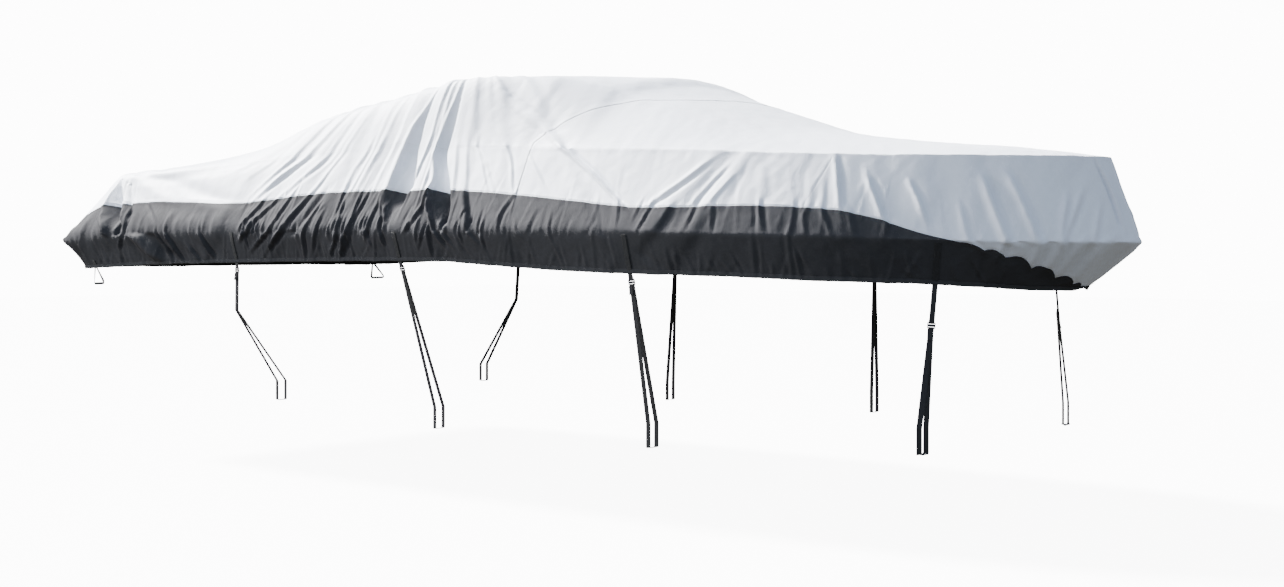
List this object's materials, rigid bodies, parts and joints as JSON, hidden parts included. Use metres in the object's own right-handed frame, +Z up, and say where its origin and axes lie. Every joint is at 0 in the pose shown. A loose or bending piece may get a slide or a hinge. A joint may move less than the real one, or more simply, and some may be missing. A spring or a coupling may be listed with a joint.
{
  "type": "boat cover",
  "caption": "Fitted silver and black cover for a runabout on its trailer, hollow below, with an elastic hem and webbing tie-downs.",
  "frame": {"origin": "inside of the crown on the centreline, where the top of the windscreen carries the cover", "axes": "+X towards the bow, +Y to port, +Z up"},
  "size_m": [6.57, 2.4236, 1.824],
  "materials": {
    "silver_cloth": "coated polyester, fine plain weave, soft sheen",
    "black_cloth": "coated polyester, fine plain weave, soft sheen",
    "webbing": "flat woven polypropylene webbing",
    "buckle": "moulded acetal, satin"
  },
  "bodies": {
    "root": {"band_port": "black_cloth", "band_starboard": "black_cloth", "band_stern": "black_cloth", "buckle_bow_port": "buckle", "buckle_bow_starboard": "buckle", "buckle_cockpit_port": "buckle", "buckle_cockpit_starboard": "buckle", "buckle_foredeck_port": "buckle", "buckle_foredeck_starboard": "buckle", "buckle_quarter_port": "buckle", "buckle_quarter_starboard": "buckle", "deck_aft": "silver_cloth", "deck_fore": "silver_cloth", "side_aft_port": "silver_cloth", "side_aft_starboard": "silver_cloth", "side_fore_port": "silver_cloth", "side_fore_starboard": "silver_cloth", "side_mid_port": "silver_cloth", "side_mid_starboard": "silver_cloth", "stern_panel": "silver_cloth", "stern_tie_port": "webbing", "stern_tie_starboard": "webbing", "tie_down_bow_port": "webbing", "tie_down_bow_starboard": "webbing", "tie_down_cockpit_port": "webbing", "tie_down_cockpit_starboard": "webbing", "tie_down_foredeck_port": "webbing", "tie_down_foredeck_starboard": "webbing", "tie_down_quarter_port": "webbing", "tie_down_quarter_starboard": "webbing", "tie_tab_bow_port": "webbing", "tie_tab_bow_starboard": "webbing", "tie_tab_cockpit_port": "webbing", "tie_tab_cockpit_starboard": "webbing", "tie_tab_foredeck_port": "webbing", "tie_tab_foredeck_starboard": "webbing", "tie_tab_quarter_port": "webbing", "tie_tab_quarter_starboard": "webbing", "tie_tail_bow_port": "webbing", "tie_tail_bow_starboard": "webbing", "tie_tail_foredeck_port": "webbing", "tie_tail_foredeck_starboard": "webbing", "tie_tail_quarter_port": "webbing", "tie_tail_quarter_starboard": "webbing"}
  },
  "joints": []
}
